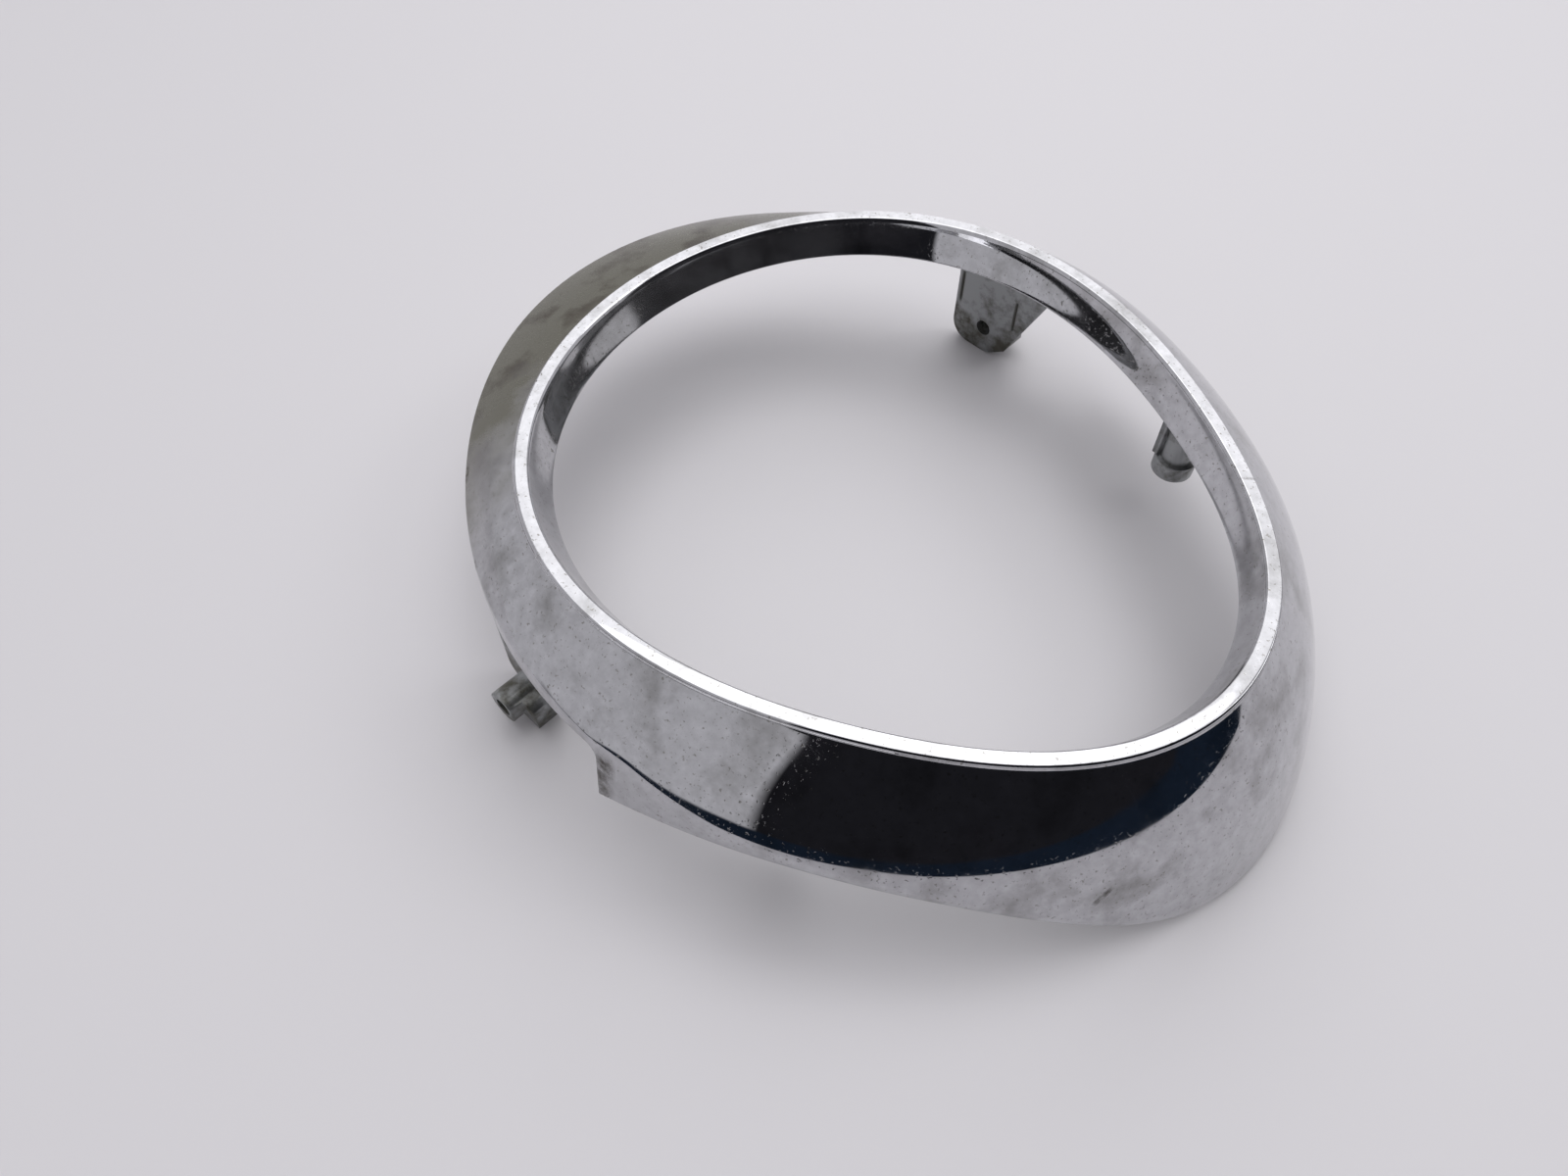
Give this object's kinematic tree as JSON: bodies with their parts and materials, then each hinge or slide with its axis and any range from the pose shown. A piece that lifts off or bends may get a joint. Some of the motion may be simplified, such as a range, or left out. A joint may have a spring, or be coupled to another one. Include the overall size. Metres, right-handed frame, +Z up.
{
  "type": "scooter dashboard fairing",
  "caption": "Chrome-plated moulded bezel ring for a scooter dial: egg-shaped bead rim, funnel wall, flange flaring into a front skirt, hanging screw tabs and locating pegs.",
  "frame": {"origin": "middle of the ring in plan, on the table plane that the skirt tip and the two tabs stand on", "axes": "X runs along the long axis with the deep skirt at +X, Y across the ring, Z up through the dial opening"},
  "size_m": [0.2341, 0.1994, 0.0532],
  "materials": {
    "chrome": "worn bright plating over moulded plastic"
  },
  "bodies": {
    "root": {"dash_bezel": "chrome"}
  },
  "joints": []
}
